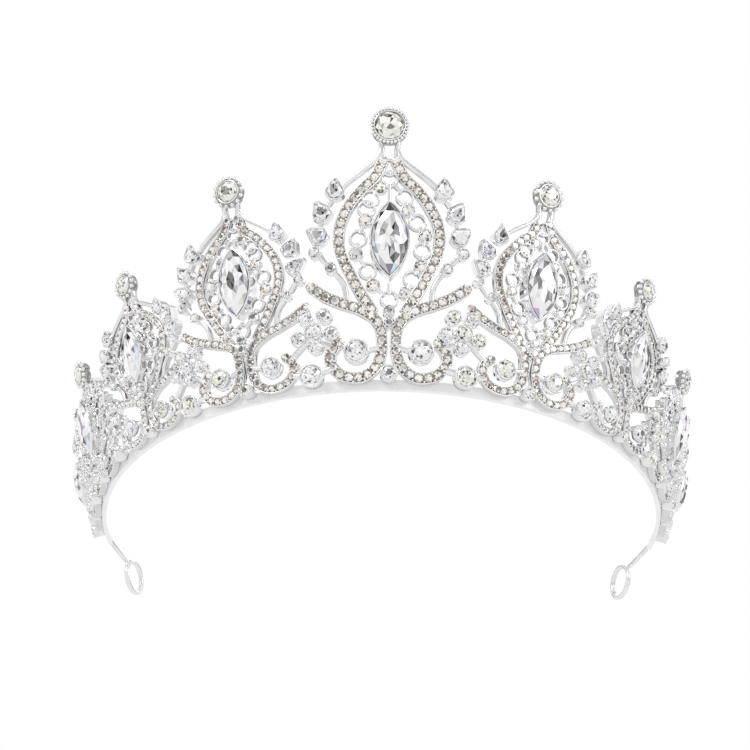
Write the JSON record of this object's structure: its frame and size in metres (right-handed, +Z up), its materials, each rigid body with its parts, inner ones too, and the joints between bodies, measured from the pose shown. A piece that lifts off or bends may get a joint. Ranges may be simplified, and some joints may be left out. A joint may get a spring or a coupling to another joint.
{
  "type": "bridal tiara",
  "caption": "C-shaped openwork tiara of cast silver-plated panels set with clear stones, tallest in front, on a thin rim band with bare end wires and eyes.",
  "frame": {"origin": "under the middle of the whole tiara, on the surface that the rim stands on", "axes": "+Z up, the tall front panel towards -Y, the open side towards +Y, +X to the right seen from the front"},
  "size_m": [0.1574, 0.1338, 0.0664],
  "materials": {
    "cast_metal": "bright silver plate",
    "setting_metal": "bright silver plate",
    "rim_metal": "bright silver plate",
    "clear_stone": "faceted, foil backed",
    "pave_stone": "faceted, foil backed"
  },
  "bodies": {
    "root": {"centre_accent_cups": "setting_metal", "centre_accent_stones": "clear_stone", "centre_finial_cup": "setting_metal", "centre_finial_stone": "clear_stone", "centre_frame": "cast_metal", "centre_marquise_cup": "setting_metal", "centre_marquise_stone": "clear_stone", "centre_pave_stones": "pave_stone", "left_1_finial_cup": "setting_metal", "left_1_finial_stone": "clear_stone", "left_1_frame": "cast_metal", "left_1_marquise_cup": "setting_metal", "left_1_marquise_stone": "clear_stone", "left_2_finial_cup": "setting_metal", "left_2_finial_stone": "clear_stone", "left_2_frame": "cast_metal", "left_2_marquise_cup": "setting_metal", "left_2_marquise_stone": "clear_stone", "left_3_finial_cup": "setting_metal", "left_3_finial_stone": "clear_stone", "left_3_frame": "cast_metal", "left_3_marquise_cup": "setting_metal", "left_3_marquise_stone": "clear_stone", "left_4_finial_cup": "setting_metal", "left_4_finial_stone": "clear_stone", "left_4_frame": "cast_metal", "left_4_marquise_cup": "setting_metal", "left_4_marquise_stone": "clear_stone", "left_accent_cups": "setting_metal", "left_accent_stones": "clear_stone", "left_end_wire": "rim_metal", "left_pave_stones": "pave_stone", "right_1_finial_cup": "setting_metal", "right_1_finial_stone": "clear_stone", "right_1_frame": "cast_metal", "right_1_marquise_cup": "setting_metal", "right_1_marquise_stone": "clear_stone", "right_2_finial_cup": "setting_metal", "right_2_finial_stone": "clear_stone", "right_2_frame": "cast_metal", "right_2_marquise_cup": "setting_metal", "right_2_marquise_stone": "clear_stone", "right_3_finial_cup": "setting_metal", "right_3_finial_stone": "clear_stone", "right_3_frame": "cast_metal", "right_3_marquise_cup": "setting_metal", "right_3_marquise_stone": "clear_stone", "right_4_finial_cup": "setting_metal", "right_4_finial_stone": "clear_stone", "right_4_frame": "cast_metal", "right_4_marquise_cup": "setting_metal", "right_4_marquise_stone": "clear_stone", "right_accent_cups": "setting_metal", "right_accent_stones": "clear_stone", "right_end_wire": "rim_metal", "right_pave_stones": "pave_stone", "rim_band": "rim_metal"}
  },
  "joints": []
}
